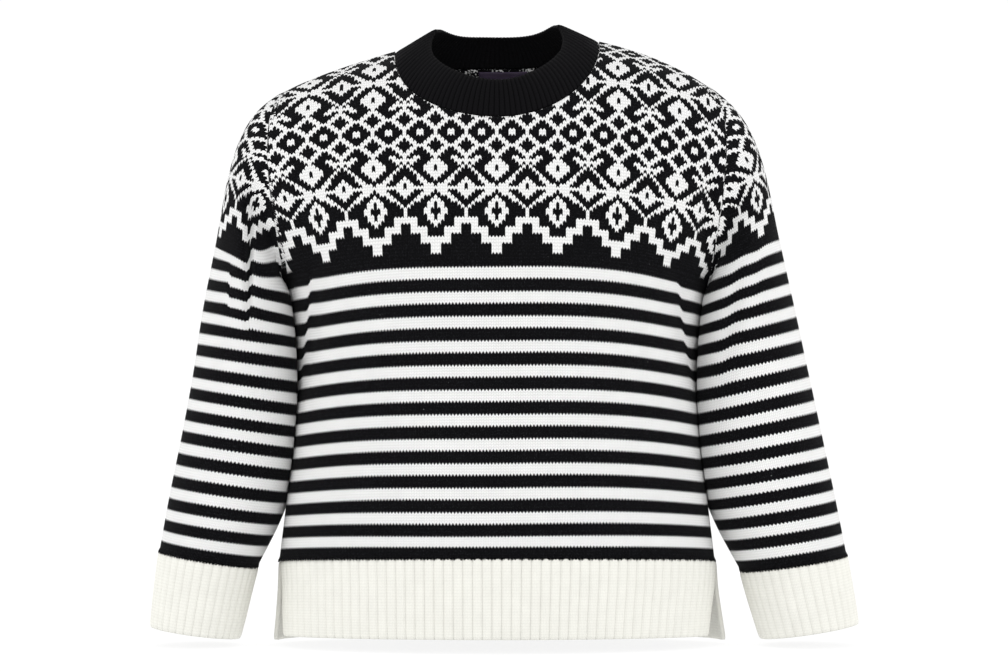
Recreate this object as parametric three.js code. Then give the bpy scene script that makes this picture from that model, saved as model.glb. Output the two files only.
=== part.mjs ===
// Fair isle jumper, worn shape with no wearer: front, back, two sleeves, ribbed collar, split ribbed hem,
// ribbed cuffs and a small bare label. Millimetres, +Z up, the front faces -Y, +X is the viewer's right.
// The origin is the middle of the neck at the height where the shoulders carry the garment.
import * as THREE from "three";

// Driving sizes
const WALL = 2.8;
const SEAM_GAP = 0.3;
const SEAM_Y = 6;
const HALF_PANEL_COLUMNS_OUTSIDE_NECK = 6;
const NECK_COLUMN_ANGLES = [0, 12, 24, 36, 48, 59, 70, 80, 90];
const PANEL_STEPS = { belowUnderarm: 7, aboveUnderarm: 11 };

// The neckline is an ellipse seen from the front, deep in front and shallow at the back.
const NECK = { halfWidth: 102, topZ: 8, frontDepth: 79, backDepth: 19 };
// The collar's rim is fuller than an ellipse in front, where it falls open.
const RIM = { halfWidth: 61, topZ: 27, frontDepth: 63, backDepth: 9, frontY: 88, backY: 58 };
// How much fuller than a plain oval the front of the rim is, and how flat that fullness runs
const RIM_FULLNESS = { most: 0.15, flatness: 0.7 };
const BACK_RIM_DIP = { start: 0.38, end: 0.95 };
const COLLAR = { ribs: 96, ribHeight: 0.8, wall: 3.2, bulge: 6, sideBulge: 0.5, rows: 3 };
// The collar's foot stands this much further off the panels, bulges over this share of a half wave,
// and turns from the panel's direction to its own in the lowest part of its height
const COLLAR_FOOT = { clearance: 1.05, wave: 0.75, turnRate: 1.6 };

// One row for each level of the body, from the top of the hem to the shoulder seam.
// frontY and backY: depth on the centre line. frontZ and backZ: height there.
// edgeX and edgeZ: the side seam or armhole edge. armY: half depth of the armhole.
// turn: how far the panel has turned at its edge, in degrees.
const BODY_LEVELS = [
  { frontY: 102, frontZ: -500, backY: 98, backZ: -506, edgeX: 218, edgeZ: -509, armY: 0, turn: 90 },
  { frontY: 104, frontZ: -440, backY: 96, backZ: -446, edgeX: 211, edgeZ: -452, armY: 0, turn: 90 },
  { frontY: 107, frontZ: -380, backY: 94, backZ: -388, edgeX: 204, edgeZ: -395, armY: 0, turn: 90 },
  { frontY: 111, frontZ: -320, backY: 94, backZ: -330, edgeX: 200, edgeZ: -338, armY: 0, turn: 90 },
  { frontY: 116, frontZ: -262, backY: 98, backZ: -272, edgeX: 202, edgeZ: -284, armY: 0, turn: 90 },
  { frontY: 119, frontZ: -214, backY: 102, backZ: -226, edgeX: 209, edgeZ: -240, armY: 0, turn: 90 },
  { frontY: 119, frontZ: -192, backY: 104, backZ: -203, edgeX: 213, edgeZ: -218, armY: 30, turn: 74 },
  { frontY: 118, frontZ: -160, backY: 106, backZ: -170, edgeX: 218, edgeZ: -184, armY: 46, turn: 62 },
  { frontY: 113, frontZ: -118, backY: 108, backZ: -126, edgeX: 224, edgeZ: -140, armY: 54, turn: 54 },
  { frontY: 103, frontZ: -76, backY: 104, backZ: -82, edgeX: 227, edgeZ: -98, armY: 50, turn: 50 },
  { frontY: 87, frontZ: -36, backY: 92, backZ: -40, edgeX: 225, edgeZ: -64, armY: 35, turn: 48 },
  { frontY: 54, frontZ: -1, backY: 60, backZ: -3, edgeX: 218, edgeZ: -43, armY: 17, turn: 46 },
  { frontY: -5.85, frontZ: 22, backY: 6.15, backZ: 22, edgeX: 208, edgeZ: -32, armY: 0, turn: 45 },
];
const UNDERARM_LEVEL = 5;
const SHOULDER_LEVEL = BODY_LEVELS.length - 1;

// Hem bands: y and z on the centre line, the slit edge at each side.
const HEM_LEVELS = {
  front: [
    { y: 102, z: -500, leftX: 215, rightX: 218, edgeY: 0, edgeZ: -509 },
    { y: 103, z: -527, leftX: 213.5, rightX: 216, edgeY: 2, edgeZ: -535 },
    { y: 103, z: -554, leftX: 213, rightX: 212.5, edgeY: 5, edgeZ: -560 },
    { y: 101, z: -579, leftX: 212, rightX: 210, edgeY: 9, edgeZ: -583 },
  ],
  back: [
    { y: 98, z: -506, leftX: 217, rightX: 218, edgeY: 0, edgeZ: -509 },
    { y: 99, z: -534, leftX: 218, rightX: 220, edgeY: 2, edgeZ: -536 },
    { y: 101, z: -562, leftX: 220, rightX: 224, edgeY: 4, edgeZ: -563 },
    { y: 102, z: -589, leftX: 222.5, rightX: 228, edgeY: 7, edgeZ: -589 },
  ],
};
const HEM = { ribs: 42, ribHeight: 1.4 };

// Sleeve rings in the sleeve's own half, x measured outward from the middle of the body.
// outerX, outerZ and innerX, innerZ: the ring's outer and inner point. centreY and halfDepth: front to back.
const SLEEVE_RINGS = {
  right: [
    { outerX: 283, outerZ: -188, innerX: 200, innerZ: -250, centreY: 10, halfDepth: 64 },
    { outerX: 298, outerZ: -254, innerX: 195, innerZ: -303, centreY: 13, halfDepth: 63 },
    { outerX: 313, outerZ: -323, innerX: 194, innerZ: -364, centreY: 15, halfDepth: 61 },
    { outerX: 327, outerZ: -388, innerX: 200, innerZ: -420, centreY: 14, halfDepth: 59 },
    { outerX: 339, outerZ: -446, innerX: 218, innerZ: -470, centreY: 11, halfDepth: 56 },
    { outerX: 350, outerZ: -503, innerX: 244, innerZ: -519, centreY: 7, halfDepth: 51 },
  ],
  left: [
    { outerX: 282, outerZ: -193, innerX: 200, innerZ: -249, centreY: 10, halfDepth: 64 },
    { outerX: 295, outerZ: -258, innerX: 195, innerZ: -299, centreY: 13, halfDepth: 63 },
    { outerX: 305, outerZ: -322, innerX: 193, innerZ: -357, centreY: 15, halfDepth: 61 },
    { outerX: 316, outerZ: -382, innerX: 198, innerZ: -411, centreY: 14, halfDepth: 58 },
    { outerX: 328, outerZ: -442, innerX: 215, innerZ: -464, centreY: 11, halfDepth: 54 },
    { outerX: 338, outerZ: -499, innerX: 240, innerZ: -515, centreY: 7, halfDepth: 49 },
  ],
};
const CUFF_RINGS = {
  right: [
    { outerX: 350, outerZ: -503, innerX: 244, innerZ: -519, centreY: 7, halfDepth: 51 },
    { outerX: 354, outerZ: -526, innerX: 250, innerZ: -541, centreY: 6, halfDepth: 50 },
    { outerX: 358, outerZ: -550, innerX: 257, innerZ: -564, centreY: 5, halfDepth: 49 },
    { outerX: 361, outerZ: -571, innerX: 264, innerZ: -586, centreY: 4, halfDepth: 48 },
  ],
  left: [
    { outerX: 338, outerZ: -499, innerX: 240, innerZ: -515, centreY: 7, halfDepth: 49 },
    { outerX: 341, outerZ: -524, innerX: 246, innerZ: -538, centreY: 6, halfDepth: 48 },
    { outerX: 344, outerZ: -550, innerX: 252, innerZ: -563, centreY: 5, halfDepth: 47 },
    { outerX: 346, outerZ: -574, innerX: 258, innerZ: -586, centreY: 4, halfDepth: 46 },
  ],
};
const CUFF = { ribs: 32, ribHeight: 1.4 };
const SLEEVE = { capRows: 6, tubeRows: 9, bodyClearance: 3, startPull: 0.36, endPull: 0.33 };

// Soft folds seen on the front, each a line from one point to another with a depth and a half width.
const FOLDS = [
  { piece: "front", x0: -178, z0: -212, x1: -196, z1: -345, depth: 5, width: 11 },
  { piece: "front", x0: 178, z0: -214, x1: 194, z1: -330, depth: 5, width: 11 },
  { piece: "front", x0: 214, z0: -110, x1: 206, z1: -205, depth: 5, width: 9 },
  { piece: "front", x0: -196, z0: -120, x1: -186, z1: -205, depth: 3, width: 10 },
  { piece: "back", x0: -170, z0: -205, x1: -192, z1: -350, depth: 5, width: 13 },
  { piece: "back", x0: 166, z0: -210, x1: 190, z1: -325, depth: 4, width: 12 },
  { piece: "left", x0: -243, z0: -140, x1: -244, z1: -268, depth: 6, width: 8 },
  { piece: "right", x0: 238, z0: -215, x1: 224, z1: -320, depth: 5, width: 9 },
  { piece: "right", x0: 262, z0: -190, x1: 256, z1: -262, depth: 3, width: 10 },
];

// The left shoulder hangs lower than the right: how far, at even steps across, fading out down the yoke.
const SHOULDER_DROP = [
  { drop: 0 },
  { drop: 0 },
  { drop: 4 },
  { drop: 9 },
  { drop: 11 },
  { drop: 9.5 },
  { drop: 4 },
  { drop: 0 },
  { drop: 0 },
];
const DROP_PLACES = { startX: -297, stepX: 40, lowZ: -125, highZ: -20 };

// The bare label inside the back neck
const LABEL = { width: 50, height: 22, thickness: 0.8, offsetX: 6, gap: 1.6, columns: 4 };

// Small helpers
const radians = THREE.MathUtils.degToRad;
const lerp = THREE.MathUtils.lerp;
const vector = (x, y, z) => new THREE.Vector3(x, y, z);

// A smooth value between the rows of a table, at a place counted in rows.
function smoothValue(rows, column, place) {
  const last = rows.length - 1;
  const at = THREE.MathUtils.clamp(place, 0, last);
  const index = Math.min(Math.floor(at), last - 1);
  const part = at - index;
  const value = (i) => rows[THREE.MathUtils.clamp(i, 0, last)][column];
  const before = index > 0 ? value(index - 1) : 2 * value(0) - value(1);
  const after = index < last - 1 ? value(index + 2) : 2 * value(last) - value(last - 1);
  const start = value(index);
  const end = value(index + 1);
  const startSlope = (end - before) / 2;
  const endSlope = (after - start) / 2;
  const square = part * part;
  const cube = square * part;
  return (
    start * (2 * cube - 3 * square + 1) +
    startSlope * (cube - 2 * square + part) +
    end * (3 * square - 2 * cube) +
    endSlope * (cube - square)
  );
}

function smoothRow(rows, place) {
  const row = {};
  for (const column of Object.keys(rows[0])) row[column] = smoothValue(rows, column, place);
  return row;
}

// How deep the folds of a piece are at a point, seen from the front.
function foldDepth(piece, x, z) {
  let depth = 0;
  for (const fold of FOLDS) {
    if (fold.piece !== piece) continue;
    const runX = fold.x1 - fold.x0;
    const runZ = fold.z1 - fold.z0;
    const along = ((x - fold.x0) * runX + (z - fold.z0) * runZ) / (runX * runX + runZ * runZ);
    const held = THREE.MathUtils.clamp(along, 0, 1);
    const distance = Math.hypot(x - fold.x0 - held * runX, z - fold.z0 - held * runZ);
    const fade = 0.35 + 0.65 * Math.sin(Math.PI * held);
    depth += fold.depth * fade * Math.exp(-((distance / fold.width) ** 2));
  }
  return depth;
}

// A finished point, let down by the drop of the left shoulder.
function settled(point) {
  const drop = smoothValue(SHOULDER_DROP, "drop", (point.x - DROP_PLACES.startX) / DROP_PLACES.stepX);
  const height = THREE.MathUtils.smoothstep(point.z, DROP_PLACES.lowZ, DROP_PLACES.highZ);
  return vector(point.x, point.y, point.z - drop * height);
}

// Body panels: across runs from -1 at the left edge to 1 at the right edge, level counts table rows.
function panelPoint(side, across, level) {
  const row = smoothRow(BODY_LEVELS, level);
  const sign = side === "front" ? -1 : 1;
  const centreY = sign * (side === "front" ? row.frontY : row.backY);
  const centreZ = side === "front" ? row.frontZ : row.backZ;
  const turn = radians(Math.min(row.turn, 90));
  const armY = level <= UNDERARM_LEVEL ? 0 : Math.max(row.armY, 0);
  const edgeY = SEAM_Y + sign * (armY + SEAM_GAP / 2);
  const reach = Math.sin(across * turn) / Math.sin(turn);
  const rounding = (1 - Math.cos(across * turn)) / (1 - Math.cos(turn));
  const x = row.edgeX * reach;
  const y = lerp(centreY, edgeY, rounding);
  const z = lerp(centreZ, row.edgeZ, across * across);
  return vector(x, y, z);
}

function panelNormal(side, across, level) {
  const step = 1e-3;
  const acrossRun = panelPoint(side, across + step, level).sub(panelPoint(side, across - step, level));
  const high = Math.min(level + step, SHOULDER_LEVEL);
  const low = Math.max(level - step, 0);
  const upRun = panelPoint(side, across, high).sub(panelPoint(side, across, low));
  const normal = acrossRun.cross(upRun).normalize();
  if (side === "back") normal.negate();
  const onSideSeam = Math.abs(across) > 0.999 && level <= UNDERARM_LEVEL + 1e-6;
  const onShoulder = level > SHOULDER_LEVEL - 1e-6;
  if (onSideSeam || onShoulder) normal.y = 0;
  if (level < 1e-6) normal.z = 0;
  return normal.normalize();
}

// The highest level of a panel at one place across: the shoulder seam, or the neckline inside it.
function panelTop(side, across) {
  const depth = side === "front" ? NECK.frontDepth : NECK.backDepth;
  const inNeck = (level) => {
    const point = panelPoint(side, across, level);
    const wide = point.x / NECK.halfWidth;
    const deep = Math.min(point.z - NECK.topZ, 0) / depth;
    return wide * wide + deep * deep < 1;
  };
  if (!inNeck(SHOULDER_LEVEL)) return SHOULDER_LEVEL;
  let low = UNDERARM_LEVEL;
  let high = SHOULDER_LEVEL;
  for (let i = 0; i < 40; i++) {
    const middle = (low + high) / 2;
    if (inNeck(middle)) high = middle;
    else low = middle;
  }
  return low;
}

// Where across the shoulder seam a panel has a given x.
function acrossAtShoulder(x) {
  const row = BODY_LEVELS[SHOULDER_LEVEL];
  const turn = radians(row.turn);
  return Math.asin((Math.sin(turn) * x) / row.edgeX) / turn;
}

const NECK_ACROSS = acrossAtShoulder(NECK.halfWidth + 0.4);

function panelColumns() {
  const half = NECK_COLUMN_ANGLES.map((angle) => {
    const x = (NECK.halfWidth + 0.4) * Math.sin(radians(angle));
    return acrossAtShoulder(x);
  });
  for (let i = 1; i <= HALF_PANEL_COLUMNS_OUTSIDE_NECK; i++)
    half.push(lerp(NECK_ACROSS, 1, i / HALF_PANEL_COLUMNS_OUTSIDE_NECK));
  const mirrored = half.slice(1).reverse().map((across) => -across);
  return [...mirrored, ...half];
}

// A closed wall between two grids of points; around joins the last column to the first.
function wallGeometry(outer, inner, around) {
  const columns = outer.length;
  const rows = outer[0].length;
  const positions = [];
  for (const grid of [outer, inner])
    for (const column of grid) for (const point of column) positions.push(...settled(point).toArray());
  const outerIndex = (i, j) => (i % columns) * rows + j;
  const innerIndex = (i, j) => columns * rows + outerIndex(i, j);
  const faces = [];
  const quad = (a, b, c, d) => faces.push(a, b, c, a, c, d);
  const spans = around ? columns : columns - 1;
  for (let i = 0; i < spans; i++)
    for (let j = 0; j < rows - 1; j++) {
      quad(outerIndex(i, j), outerIndex(i + 1, j), outerIndex(i + 1, j + 1), outerIndex(i, j + 1));
      quad(innerIndex(i, j), innerIndex(i, j + 1), innerIndex(i + 1, j + 1), innerIndex(i + 1, j));
    }
  for (let i = 0; i < spans; i++) {
    const top = rows - 1;
    quad(outerIndex(i, 0), innerIndex(i, 0), innerIndex(i + 1, 0), outerIndex(i + 1, 0));
    quad(outerIndex(i, top), outerIndex(i + 1, top), innerIndex(i + 1, top), innerIndex(i, top));
  }
  if (!around)
    for (let j = 0; j < rows - 1; j++) {
      const end = columns - 1;
      quad(outerIndex(0, j), outerIndex(0, j + 1), innerIndex(0, j + 1), innerIndex(0, j));
      quad(outerIndex(end, j), innerIndex(end, j), innerIndex(end, j + 1), outerIndex(end, j + 1));
    }
  const geometry = new THREE.BufferGeometry();
  geometry.setAttribute("position", new THREE.Float32BufferAttribute(positions, 3));
  geometry.setIndex(signedVolume(positions, faces) < 0 ? turnedRound(faces) : faces);
  geometry.computeVertexNormals();
  return geometry;
}

function signedVolume(positions, faces) {
  const point = (i) => vector(positions[3 * i], positions[3 * i + 1], positions[3 * i + 2]);
  let volume = 0;
  for (let i = 0; i < faces.length; i += 3) {
    const normal = point(faces[i + 1]).cross(point(faces[i + 2]));
    volume += point(faces[i]).dot(normal) / 6;
  }
  return volume;
}

function turnedRound(faces) {
  const turned = faces.slice();
  for (let i = 0; i < turned.length; i += 3) [turned[i + 1], turned[i + 2]] = [turned[i + 2], turned[i + 1]];
  return turned;
}

// The levels of one panel column, with a row at the underarm so that the sleeve meets the same points.
function panelLevels(top) {
  const levels = [];
  for (let j = 0; j < PANEL_STEPS.belowUnderarm; j++)
    levels.push((UNDERARM_LEVEL * j) / PANEL_STEPS.belowUnderarm);
  for (let j = 0; j <= PANEL_STEPS.aboveUnderarm; j++)
    levels.push(lerp(UNDERARM_LEVEL, top, j / PANEL_STEPS.aboveUnderarm));
  return levels;
}

function panelGeometry(side) {
  const outer = [];
  const inner = [];
  for (const across of panelColumns()) {
    const top = panelTop(side, across);
    const outerColumn = [];
    const innerColumn = [];
    for (const level of panelLevels(top)) {
      const normal = panelNormal(side, across, level);
      const point = panelPoint(side, across, level);
      const edgeFade = Math.min(1, 14 * (1 - Math.abs(across)));
      const fold = foldDepth(side, point.x, point.z) * edgeFade;
      point.addScaledVector(normal, -fold);
      outerColumn.push(point);
      innerColumn.push(point.clone().addScaledVector(normal, -WALL));
    }
    outer.push(outerColumn);
    inner.push(innerColumn);
  }
  return wallGeometry(outer, inner, false);
}

// Hem bands
function hemPoint(side, across, level, inset) {
  const row = smoothRow(HEM_LEVELS[side], level);
  const sign = side === "front" ? -1 : 1;
  const angle = (across * Math.PI) / 2;
  const edgeY = SEAM_Y + sign * (row.edgeY + SEAM_GAP / 2);
  const edgeX = across < 0 ? row.leftX : row.rightX;
  const x = (edgeX - inset) * Math.sin(angle);
  const y = lerp(sign * (row.y - inset), edgeY, 1 - Math.cos(angle));
  const z = lerp(row.z, row.edgeZ, across * across);
  return vector(x, y, z - SEAM_GAP);
}

function hemGeometry(side) {
  const outer = [];
  const inner = [];
  const columns = 2 * HEM.ribs;
  const rows = HEM_LEVELS[side].length;
  for (let i = 0; i <= columns; i++) {
    const across = (2 * i) / columns - 1;
    const raised = i % 2 === 1;
    const outerColumn = [];
    const innerColumn = [];
    for (let j = 0; j < rows; j++) {
      outerColumn.push(hemPoint(side, across, j, raised ? -HEM.ribHeight : 0));
      innerColumn.push(hemPoint(side, across, j, WALL));
    }
    outer.push(outerColumn);
    inner.push(innerColumn);
  }
  return wallGeometry(outer, inner, false);
}

// The armhole loop, one entry for each sleeve column: turn 0 is the shoulder point, 180 the underarm,
// 90 the front edge and 270 the back edge.
function armholeColumns() {
  const half = {};
  for (const side of ["front", "back"]) {
    const levels = panelLevels(SHOULDER_LEVEL).slice(PANEL_STEPS.belowUnderarm).reverse();
    let length = 0;
    let last = null;
    half[side] = levels.map((level) => {
      const point = panelPoint(side, 1, level);
      if (last) length += point.distanceTo(last);
      last = point;
      return { side, level, length };
    });
    for (const entry of half[side]) entry.turn = (180 * entry.length) / length;
  }
  const backWay = half.back.slice(1, -1).reverse();
  for (const entry of backWay) entry.turn = 360 - entry.turn;
  return [...half.front, ...backWay];
}

// Towards the underarm the sleeve's wall turns over, so that it can hang beside the body.
const UNDERARM_BLEND = { start: 128, end: 176 };

function armholePlace(column, inset) {
  const { side, level, turn } = column;
  const point = panelPoint(side, 1, level);
  const normal = panelNormal(side, 1, level);
  const step = 1e-3;
  const high = Math.min(level + step, SHOULDER_LEVEL);
  const edgeRun = panelPoint(side, 1, high).sub(panelPoint(side, 1, level - step));
  const outward = panelPoint(side, 1 + step, level).sub(panelPoint(side, 1 - step, level)).normalize();
  const seamShift = edgeRun.cross(normal).normalize();
  if (seamShift.dot(outward) < 0) seamShift.negate();
  if (turn === 0) seamShift.copy(outward.set(0.88, 0, -0.47));
  if (turn === 180) seamShift.set(0, 0, 1);
  if (turn === 0 || turn === 180) point.y = SEAM_Y;
  const fromTop = turn <= 180 ? turn : 360 - turn;
  const underarmPart = THREE.MathUtils.smoothstep(fromTop, UNDERARM_BLEND.start, UNDERARM_BLEND.end);
  normal.lerp(vector(0, 0, -1), underarmPart).normalize();
  outward.lerp(vector(1, 0, 0.1), underarmPart).normalize();
  point.addScaledVector(seamShift, SEAM_GAP + 0.1).addScaledVector(normal, -inset);
  return { point, outward };
}

// The widest x that the body has at a depth and height, so that a sleeve rests just clear of it.
function bodySide(y, z) {
  let place = 0;
  while (place < UNDERARM_LEVEL && smoothValue(BODY_LEVELS, "edgeZ", place + 0.05) < z) place += 0.05;
  const row = smoothRow(BODY_LEVELS, Math.min(place, UNDERARM_LEVEL));
  const depth = y < SEAM_Y ? row.frontY + SEAM_Y : row.backY - SEAM_Y;
  const part = Math.min(Math.abs(y - SEAM_Y) / depth, 1);
  return row.edgeX * Math.sqrt(1 - part * part);
}

function ringPoint(rings, place, turn, inset) {
  const row = smoothRow(rings, place);
  const centre = vector((row.outerX + row.innerX) / 2, row.centreY, (row.outerZ + row.innerZ) / 2);
  const half = vector((row.outerX - row.innerX) / 2, 0, (row.outerZ - row.innerZ) / 2);
  half.setLength(half.length() - inset);
  const angle = radians(turn);
  const point = centre.addScaledVector(half, Math.cos(angle));
  point.y -= (row.halfDepth - inset) * Math.sin(angle);
  return point;
}

function clearOfBody(point, inset) {
  const aboveUnderarm = point.z > BODY_LEVELS[UNDERARM_LEVEL].edgeZ;
  if (!aboveUnderarm) point.x = Math.max(point.x, bodySide(point.y, point.z) + SLEEVE.bodyClearance + inset);
  return point;
}

// A sleeve in its own half: place 0 to 1 is the cap, from there on the rings of the tube.
function sleevePoint(side, column, place, inset) {
  const rings = SLEEVE_RINGS[side];
  const turn = column.turn;
  if (place >= 1) return clearOfBody(ringPoint(rings, place - 1, turn, inset), inset);
  const start = armholePlace(column, inset);
  const end = clearOfBody(ringPoint(rings, 0, turn, inset), inset);
  const ahead = clearOfBody(ringPoint(rings, 0.05, turn, inset), inset);
  const span = start.point.distanceTo(end);
  const endRun = ahead.sub(end).normalize();
  const firstPull = start.point.clone().addScaledVector(start.outward, span * SLEEVE.startPull);
  const secondPull = end.clone().addScaledVector(endRun, -span * SLEEVE.endPull);
  return new THREE.CubicBezierCurve3(start.point, firstPull, secondPull, end).getPoint(place);
}

function sleeveGeometry(side) {
  const mirror = side === "left" ? -1 : 1;
  const rings = SLEEVE_RINGS[side];
  const grids = [];
  for (const inset of [0, WALL]) {
    const grid = [];
    for (const start of armholeColumns()) {
      const column = [];
      for (let j = 0; j <= SLEEVE.capRows + SLEEVE.tubeRows; j++) {
        const inCap = j < SLEEVE.capRows;
        const tubePart = (j - SLEEVE.capRows) / SLEEVE.tubeRows;
        const place = inCap ? j / SLEEVE.capRows : 1 + tubePart * (rings.length - 1);
        const point = sleevePoint(side, start, place, inset);
        const facing = Math.max(Math.sin(radians(start.turn)), 0);
        const awayFromSeam = Math.min(1, place * 3);
        point.y += foldDepth(side, mirror * point.x, point.z) * facing * awayFromSeam;
        point.x *= mirror;
        column.push(point);
      }
      grid.push(column);
    }
    grids.push(grid);
  }
  return wallGeometry(grids[0], grids[1], true);
}

function cuffGeometry(side) {
  const mirror = side === "left" ? -1 : 1;
  const rings = CUFF_RINGS[side];
  const columns = 2 * CUFF.ribs;
  const outer = [];
  const inner = [];
  for (let i = 0; i < columns; i++) {
    const turn = (360 * i) / columns;
    const raised = i % 2 === 1;
    const outerColumn = [];
    const innerColumn = [];
    for (let j = 0; j < rings.length; j++) {
      const outerPoint = ringPoint(rings, j, turn, raised ? -CUFF.ribHeight : 0);
      const innerPoint = ringPoint(rings, j, turn, WALL);
      for (const point of [outerPoint, innerPoint]) {
        point.z -= SEAM_GAP + 0.1;
        point.x *= mirror;
      }
      outerColumn.push(outerPoint);
      innerColumn.push(innerPoint);
    }
    outer.push(outerColumn);
    inner.push(innerColumn);
  }
  return wallGeometry(outer, inner, true);
}

// Collar: turn 0 is the front middle, 90 the right shoulder, 180 the back middle.
function neckSeam(turn) {
  const angle = radians(turn);
  const front = Math.cos(angle) >= 0;
  const side = front ? "front" : "back";
  const depth = front ? NECK.frontDepth : NECK.backDepth;
  const x = NECK.halfWidth * Math.sin(angle);
  const z = NECK.topZ - depth * Math.abs(Math.cos(angle));
  return { side, x, z };
}

// The place on a panel that is seen at x and z from the front.
function panelAt(side, x, z) {
  let low = UNDERARM_LEVEL;
  let high = SHOULDER_LEVEL;
  let across = 0;
  for (let i = 0; i < 40; i++) {
    const level = (low + high) / 2;
    const row = smoothRow(BODY_LEVELS, level);
    const turn = radians(row.turn);
    across = Math.asin(THREE.MathUtils.clamp((Math.sin(turn) * x) / row.edgeX, -1, 1)) / turn;
    if (panelPoint(side, across, level).z < z) low = level;
    else high = level;
  }
  return { across, level: (low + high) / 2 };
}

function collarPoint(turn, part, inset) {
  const angle = radians(turn);
  const seam = neckSeam(turn);
  const at = panelAt(seam.side, seam.x, seam.z);
  const base = panelPoint(seam.side, at.across, at.level);
  const normal = panelNormal(seam.side, at.across, at.level);
  const frontward = Math.cos(angle) >= 0;
  const rimDepth = frontward ? RIM.frontDepth : RIM.backDepth;
  const rimY = frontward ? -RIM.frontY : RIM.backY;
  const cosine = Math.abs(Math.cos(angle));
  const swell = RIM_FULLNESS.most * Math.sin(Math.PI * cosine) ** RIM_FULLNESS.flatness;
  const fuller = frontward ? 1 + swell : 1;
  const dip = frontward ? cosine : THREE.MathUtils.smoothstep(cosine, BACK_RIM_DIP.start, BACK_RIM_DIP.end);
  const rim = vector(
    RIM.halfWidth * Math.sin(angle) * fuller,
    SEAM_Y + (rimY - SEAM_Y) * cosine,
    RIM.topZ - rimDepth * dip,
  );
  const run = rim.clone().sub(base).normalize();
  const aroundRun = vector(Math.cos(angle), Math.sin(angle), 0);
  const bandNormal = aroundRun.cross(run).normalize();
  if (bandNormal.dot(normal) < 0) bandNormal.negate();
  base.addScaledVector(run, SEAM_GAP + COLLAR_FOOT.clearance);
  const point = base.clone().lerp(rim, part);
  const most = COLLAR.sideBulge + (COLLAR.bulge - COLLAR.sideBulge) * cosine;
  const bulge = most * Math.sin(Math.PI * part * COLLAR_FOOT.wave);
  point.addScaledVector(bandNormal, bulge);
  const turned = Math.min(1, part * COLLAR_FOOT.turnRate);
  const thickWay = normal.clone().lerp(bandNormal, turned).normalize();
  return point.addScaledVector(thickWay, -inset);
}

function collarGeometry() {
  const columns = 2 * COLLAR.ribs;
  const outer = [];
  const inner = [];
  for (let i = 0; i < columns; i++) {
    const turn = (360 * i) / columns;
    const raised = i % 2 === 1;
    const outerColumn = [];
    const innerColumn = [];
    for (let j = 0; j <= COLLAR.rows; j++) {
      const part = j / COLLAR.rows;
      outerColumn.push(collarPoint(turn, part, raised ? -COLLAR.ribHeight : 0));
      innerColumn.push(collarPoint(turn, part, COLLAR.wall));
    }
    outer.push(outerColumn);
    inner.push(innerColumn);
  }
  return wallGeometry(outer, inner, true);
}

// The label lies inside the back panel, made from the panel's own points moved inward.
function labelGeometry() {
  const outer = [];
  const inner = [];
  const rows = 3;
  for (let i = 0; i <= LABEL.columns; i++) {
    const x = LABEL.offsetX + LABEL.width * (i / LABEL.columns - 0.5);
    const seamZ = NECK.topZ - NECK.backDepth * Math.sqrt(1 - (x / NECK.halfWidth) ** 2);
    const outerColumn = [];
    const innerColumn = [];
    for (let j = 0; j <= rows; j++) {
      const z = seamZ - 1.2 - (LABEL.height * j) / rows;
      const at = panelAt("back", x, z);
      const normal = panelNormal("back", at.across, at.level);
      const point = panelPoint("back", at.across, at.level);
      outerColumn.push(point.clone().addScaledVector(normal, -WALL - LABEL.gap));
      innerColumn.push(point.clone().addScaledVector(normal, -WALL - LABEL.gap - LABEL.thickness));
    }
    outer.push(outerColumn);
    inner.push(innerColumn);
  }
  return wallGeometry(outer, inner, false);
}

// Materials
const blackAndWhiteKnit = new THREE.MeshStandardMaterial({ color: 0x8a8a88, roughness: 0.95, metalness: 0 });
const creamRib = new THREE.MeshStandardMaterial({ color: 0xf3f1e8, roughness: 0.95, metalness: 0 });
const blackRib = new THREE.MeshStandardMaterial({ color: 0x151517, roughness: 0.95, metalness: 0 });
const labelWeave = new THREE.MeshStandardMaterial({ color: 0x33233f, roughness: 0.7, metalness: 0 });

const jumper = new THREE.Group();
function addPiece(name, geometry, material) {
  const mesh = new THREE.Mesh(geometry, material);
  mesh.name = name;
  jumper.add(mesh);
}

addPiece("front", panelGeometry("front"), blackAndWhiteKnit);
addPiece("back", panelGeometry("back"), blackAndWhiteKnit);
for (const side of ["left", "right"]) {
  addPiece(`sleeve_${side}`, sleeveGeometry(side), blackAndWhiteKnit);
  addPiece(`cuff_${side}`, cuffGeometry(side), creamRib);
}
for (const side of ["front", "back"]) addPiece(`hem_${side}`, hemGeometry(side), creamRib);
addPiece("collar", collarGeometry(), blackRib);
addPiece("neck_label", labelGeometry(), labelWeave);

export default jumper;
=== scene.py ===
"""Fair isle jumper, worn shape with no wearer. Sizes are in millimetres until a mesh is made, in metres."""

import math

import bmesh
import bpy
import numpy as np
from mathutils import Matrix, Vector


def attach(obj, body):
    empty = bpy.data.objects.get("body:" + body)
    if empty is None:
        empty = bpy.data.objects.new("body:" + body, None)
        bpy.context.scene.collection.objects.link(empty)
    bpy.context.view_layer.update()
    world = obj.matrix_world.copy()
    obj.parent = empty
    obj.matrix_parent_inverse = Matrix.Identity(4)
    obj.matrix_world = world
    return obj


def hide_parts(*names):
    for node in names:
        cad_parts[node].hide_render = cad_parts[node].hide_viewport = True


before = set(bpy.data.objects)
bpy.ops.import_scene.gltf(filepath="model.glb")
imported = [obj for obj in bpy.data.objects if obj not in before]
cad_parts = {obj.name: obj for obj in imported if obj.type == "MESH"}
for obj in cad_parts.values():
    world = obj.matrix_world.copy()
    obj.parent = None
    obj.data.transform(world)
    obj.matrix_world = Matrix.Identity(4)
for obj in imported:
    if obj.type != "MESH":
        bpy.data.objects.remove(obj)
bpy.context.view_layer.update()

MM = 0.001
MERGE = 0.00002
ALMOST = 1e-9
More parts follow.
